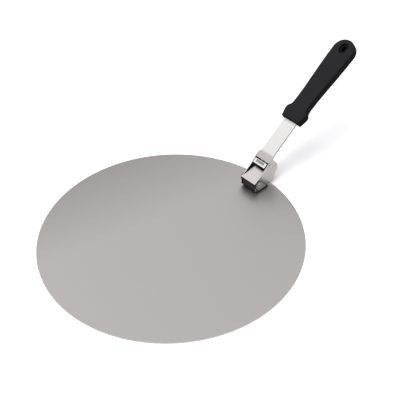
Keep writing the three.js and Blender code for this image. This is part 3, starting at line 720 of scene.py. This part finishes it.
def make_latch_pin():
    """The pin the lever turns on, with a low head outside each cheek."""
    seat = LATCH_PIN["seat"]
    half = [(LATCH_PIN["radius"], seat)] + dome(LATCH_PIN["head"], seat, LATCH_PIN["height"])
    place = upright(y=LATCH_PIN["y"], z=LATCH_PIN["z"]) @ PIN_AXIS
    pin = turned("latch_pin_turned", flipped(half) + half, place)
    dress(shade(pin), "handle", PIN_STEEL, "latch_pin")


def make_strip_rivet(node, x):
    """Flush on the collar's top, with a low head under the strip."""
    r = STRIP_RIVET
    profile = [(0, -r["sunk"]), (r["shank"], -r["sunk"]), (r["shank"], -r["grip"])]
    profile += [(RIVET["head"], -r["grip"] - r["rim"])]
    head = dome(RIVET["head"], r["grip"] + r["dome_at"], r["dome_height"])
    profile += [(radius, -height) for radius, height in head]
    tilt = Matrix.Rotation(STRIP_ANGLE, 4, "X")
    place = Matrix.Translation(COLLAR_FRONT * MM) @ tilt @ upright(x, r["along"])
    rivet = turned(node + "_turned", profile, place, SMALL_SEGMENTS)
    dress(shade(rivet), "handle", RIVET_STEEL, node)


def make_spring():
    """The CAD spring's wire, smoothed."""
    spring = mesh_object("latch_spring_wire", cad_copy("latch_spring"))
    rounding = spring.modifiers.new("round wire", "SUBSURF")
    rounding.levels = 1
    rounding.render_levels = 1
    dress(shade(spring), "handle", SPRING_STEEL, "latch_spring")


# ---------------------------------------------------------------- grip


def grip_place():
    """From the grip's own frame (y along it from the guard, z through its thickness) to the part's."""
    return Matrix.Translation(GRIP_START * MM) @ Matrix.Rotation(GRIP_ANGLE, 4, "X")


def grip_outline(steps=14):
    """Plan outline as (x, y): a flared guard, a waist and a round end, anticlockwise."""
    g = GRIP
    guard_side = (g["guard_side"], g["guard_side_at"])
    guard_widest = (g["guard_widest"], g["guard_widest_at"])
    guard_back = (g["waist"] + 0.7, g["guard_back_at"] + 2)
    waist = (g["waist"], g["waist_at"])
    end = (g["end"], g["length"] - g["end"])
    # Each curve's start, how far its two handles lie from its start and from its end, and its end.
    curves = [
        (guard_side, (0.6, 2.4), (0, -3), guard_widest),
        (guard_widest, (0, 5), (1.3, -3), guard_back),
        (guard_back, (-0.7, 2), (0, -4), waist),
        (waist, (0, 22), (0, -28), end),
    ]
    side = [(g["guard_front"], 0.0)]
    for start, leaving, arriving, stop in curves:
        first = (start[0] + leaving[0], start[1] + leaving[1])
        second = (stop[0] + arriving[0], stop[1] + arriving[1])
        points = interpolate_bezier(*[Vector((*p, 0)) for p in (start, first, second, stop)], steps)
        side += [(p.x, p.y) for p in points[:-1]]
    side += arc((0, end[1]), g["end"], 0, 90, 20)[:-1]
    tip = [(0.0, g["length"])]
    return side + tip + [(-x, y) for x, y in reversed(side)]


def inset(outline, distance):
    """The outline moved inwards, with mitred corners that don't run far out."""
    longest_mitre = 2.5
    moved = []
    count = len(outline)
    for i in range(count):
        before = Vector(outline[i - 1])
        here = Vector(outline[i])
        after = Vector(outline[(i + 1) % count])
        a = (here - before).normalized()
        b = (after - here).normalized()
        normal_a = Vector((-a.y, a.x))
        normal_b = Vector((-b.y, b.x))
        middle = (normal_a + normal_b).normalized()
        reach = distance / max(1 / longest_mitre, middle.dot(normal_a))
        moved.append((here.x + middle.x * reach, here.y + middle.y * reach))
    return moved


def slot_outline(grow, centre, steps=16):
    """The hanging slot's outline, grown by this many mm all round."""
    half_width = HANG_SLOT["half_width"] + grow
    straight = HANG_SLOT["half_length"] - HANG_SLOT["half_width"]
    upper = arc((0, centre + straight), half_width, 0, 180, steps)
    lower = arc((0, centre - straight), half_width, 180, 360, steps)
    return upper + lower


def slot_cutter(place):
    """The hanging slot with a shallow dish on both faces and rounded lips."""
    face = GRIP["half_thickness"] + GRIP["crown"]
    dish, foot = HANG_SLOT["dish"], HANG_SLOT["foot"]
    floor = GRIP["half_thickness"] - HANG_SLOT["dish_depth"]
    upper = [(outwards, floor + up) for outwards, up in HANG_SLOT["hole_ease"]]
    upper += [(dish - foot, floor), (dish, floor + foot)]
    upper += [(dish + outwards, face + up) for outwards, up in HANG_SLOT["lip"]]
    levels = flipped(upper) + upper
    centre = GRIP["length"] - HANG_SLOT["from_end"]
    outlines = [[(x, y, z) for x, y in slot_outline(grow, centre)] for grow, z in levels]
    return stacked("slot", outlines, place)


def pocket_cutter(pocket, place):
    """A square pocket from the guard's front face into the grip."""
    x, depth, z = pocket["half_width"], pocket["depth"], pocket["half_height"]
    corners = [(-x, -CLEAR), (x, -CLEAR), (x, depth), (-x, depth)]
    outlines = [[(cx, cy, cz) for cx, cy in corners] for cz in (-z, z)]
    return stacked("pocket", outlines, place)


def screw_cutter(place):
    """The countersunk hole for the screw, from the grip's lower face, with an eased mouth."""
    bottom = -GRIP["half_thickness"]
    wide, narrow, gap = SCREW_HOLE["head"], SCREW_HOLE["shank"], SCREW_HOLE["gap"]
    mouth = wide + 0.3
    sink_top = bottom + SCREW["recess"] + SCREW["head_depth"] + gap
    profile = [(0, bottom - CLEAR), (mouth, bottom - CLEAR), (mouth, bottom - 0.15), (wide, bottom + 0.2)]
    profile += [(wide, bottom + SCREW["recess"] + 0.1), (narrow, sink_top)]
    profile += [(narrow, SCREW["top"] + gap), (0, SCREW["top"] + gap)]
    return turned("hole", profile, place @ upright(0, SCREW["at"]), SMALL_SEGMENTS)


def make_grip():
    """The moulding, as insets of its outline from face to face, with a parting line half-way."""
    place = grip_place()
    outline = grip_outline()
    half, edge, seam = GRIP["half_thickness"], GRIP["edge"], GRIP["seam"]
    steps = 8
    turns = [math.pi / 2 * k / steps for k in range(steps + 1)]
    upper = [(seam, 0.0), (0.0, seam * 1.5)]
    upper += [(edge * (1 - math.cos(t)), half - edge + edge * math.sin(t)) for t in turns]
    upper += [(edge + past, half + share * GRIP["crown"]) for past, share in CROWN_RINGS]
    levels = flipped(upper[1:]) + upper
    outlines = [[(x, y, z) for x, y in inset(outline, d)] for d, z in levels]
    grip = stacked("grip_moulding", outlines, place)
    pockets = [pocket_cutter(pocket, place) for pocket in (STRIP_POCKET, TANG_POCKET)]
    cut(grip, slot_cutter(place), *pockets, screw_cutter(place))
    dress(shade(grip), "handle", GRIP_PLASTIC, "grip")


def make_grip_screw():
    """A countersunk screw with a cross recess, seen from below."""
    place = grip_place() @ upright(0, SCREW["at"])
    bottom = -GRIP["half_thickness"] + SCREW["recess"]
    rim = SCREW["head"] - SCREW_RIM["inwards"]
    profile = [(0, bottom), (rim, bottom), (SCREW["head"], bottom + SCREW_RIM["upwards"])]
    profile += [(SCREW["shank"], bottom + SCREW["head_depth"]), (SCREW["shank"], SCREW["top"] - 1)]
    profile += [(0, SCREW["top"])]
    screw = turned("grip_screw_turned", profile, place, SMALL_SEGMENTS)
    arm, wing = SCREW_CROSS["arm"], SCREW_CROSS["wing"]
    corners = [(-arm, -wing), (arm, -wing), (arm, wing), (-arm, wing)]
    levels = [(1.0, bottom - 0.5), (1.0, bottom), (SCREW_CROSS["taper"], bottom + SCREW_CROSS["deep"])]
    outlines = [[(share * x, y, z) for x, y in corners] for share, z in levels]
    for quarter in (0, math.pi / 2):
        turn = Matrix.Rotation(quarter + SCREW_CROSS["turn"], 4, "Z")
        cut(screw, stacked("recess", outlines, place @ turn))
    dress(shade(screw), "handle", PIN_STEEL, "grip_screw")


# ---------------------------------------------------------------- assembly

make_blade()
dress(rounded_copy("hinge_bracket", "hinge_bracket_folded"), "blade_base", BRACKET_STEEL,
      "hinge_bracket")
for rivet_node, (rivet_x, rivet_y) in RIVET_PLACES.items():
    make_bracket_rivet(rivet_node, rivet_x, rivet_y)
make_pivot_pin()

dress(rounded_copy("hinge_housing", "hinge_housing_folded", collar_fold), "handle",
      HOUSING_STEEL, "hinge_housing")
dress(rounded_copy("pivot_block", "pivot_block_moulded"), "handle", BLOCK_PLASTIC,
      "pivot_block")
dress(rounded_copy("handle_strip", "handle_strip_blank"), "handle", STRIP_STEEL,
      "handle_strip")
make_strip_rivet("strip_rivet_left", -STRIP_RIVET["x"])
make_strip_rivet("strip_rivet_right", STRIP_RIVET["x"])
make_latch_pin()
make_spring()
make_grip()
make_grip_screw()
make_latch_lever()


# ---------------------------------------------------------------- floor, light and camera


def make_floor():
    """White paper just below the blade."""
    bm = bmesh.new()
    bmesh.ops.create_grid(bm, x_segments=8, y_segments=8, size=FLOOR["reach"])
    floor = mesh_object("floor", bm)
    floor.location = (0, 0, -FLOOR["below"] * MM)
    n = Nodes("floor_paper")
    tone = n.noise(n.coordinates(), (FLOOR["blotch"],) * 3)
    n.link(n.mix(n.ranged(tone, 0, 1), FLOOR["dark"], FLOOR["light"]), n.surface.inputs["Base Color"])
    n.surface.inputs["Roughness"].default_value = 0.9
    n.surface.inputs["Specular IOR Level"].default_value = 0.1
    floor.data.materials.append(n.material)


def make_world():
    """A white studio with one soft bright panel overhead, to the left."""
    world = bpy.data.worlds.new("studio")
    world.use_nodes = True
    tree = world.node_tree
    tree.nodes.clear()
    direction = tree.nodes.new("ShaderNodeTexCoord")
    facing = tree.nodes.new("ShaderNodeVectorMath")
    facing.operation = "DOT_PRODUCT"
    facing.inputs[1].default_value = Vector(PANEL["direction"]).normalized()
    blend = tree.nodes.new("ShaderNodeMapRange")
    blend.interpolation_type = "SMOOTHSTEP"
    blend.inputs["From Min"].default_value = math.cos(PANEL["outer"])
    blend.inputs["From Max"].default_value = math.cos(PANEL["inner"])
    colour = tree.nodes.new("ShaderNodeMix")
    colour.data_type = "RGBA"
    colour.inputs[6].default_value = (*STUDIO_COLOUR, 1)
    colour.inputs[7].default_value = (*PANEL["colour"], 1)
    background = tree.nodes.new("ShaderNodeBackground")
    output = tree.nodes.new("ShaderNodeOutputWorld")
    tree.links.new(direction.outputs["Generated"], facing.inputs[0])
    tree.links.new(facing.outputs["Value"], blend.inputs["Value"])
    tree.links.new(blend.outputs["Result"], colour.inputs["Factor"])
    tree.links.new(colour.outputs[2], background.inputs["Color"])
    tree.links.new(background.outputs[0], output.inputs["Surface"])
    bpy.context.scene.world = world


def make_key_light():
    """A round lamp overhead that casts the soft shadow. Steel doesn't mirror it."""
    data = bpy.data.lights.new("key", "AREA")
    data.shape = "DISK"
    data.size = KEY_LIGHT["size"]
    data.energy = KEY_LIGHT["power"]
    data.color = KEY_LIGHT["colour"]
    light = bpy.data.objects.new("key", data)
    bpy.context.scene.collection.objects.link(light)
    offset = Vector(KEY_LIGHT["direction"]).normalized() * KEY_LIGHT["distance"]
    light.location = Vector(KEY_LIGHT["aimed_at"]) + offset
    light.rotation_mode = "QUATERNION"
    light.rotation_quaternion = (-offset).to_track_quat("-Z", "Y")
    light.visible_glossy = False


def make_camera():
    """The camera fitted to the photo's view of the blade, the hinge and the grip."""
    c = CAMERA
    data = bpy.data.cameras.new("camera")
    data.lens = c["lens"]
    data.sensor_width = c["sensor"]
    data.shift_x, data.shift_y = c["shift"]
    data.clip_start, data.clip_end = c["clip"]
    camera = bpy.data.objects.new("camera", data)
    bpy.context.scene.collection.objects.link(camera)
    a, e, r = c["azimuth"], c["elevation"], c["roll"]
    back = Vector((math.cos(e) * math.sin(a), -math.cos(e) * math.cos(a), math.sin(e)))
    level = Vector((math.cos(a), math.sin(a), 0))
    upward = back.cross(level)
    right = level * math.cos(r) + upward * math.sin(r)
    up = upward * math.cos(r) - level * math.sin(r)
    turn = Matrix((right, up, back)).transposed().to_4x4()
    camera.matrix_world = Matrix.Translation((c["target"] + back * c["distance"]) * MM) @ turn
    bpy.context.scene.camera = camera


make_floor()
make_world()
make_key_light()
make_camera()
bpy.context.scene.view_settings.view_transform = "Standard"
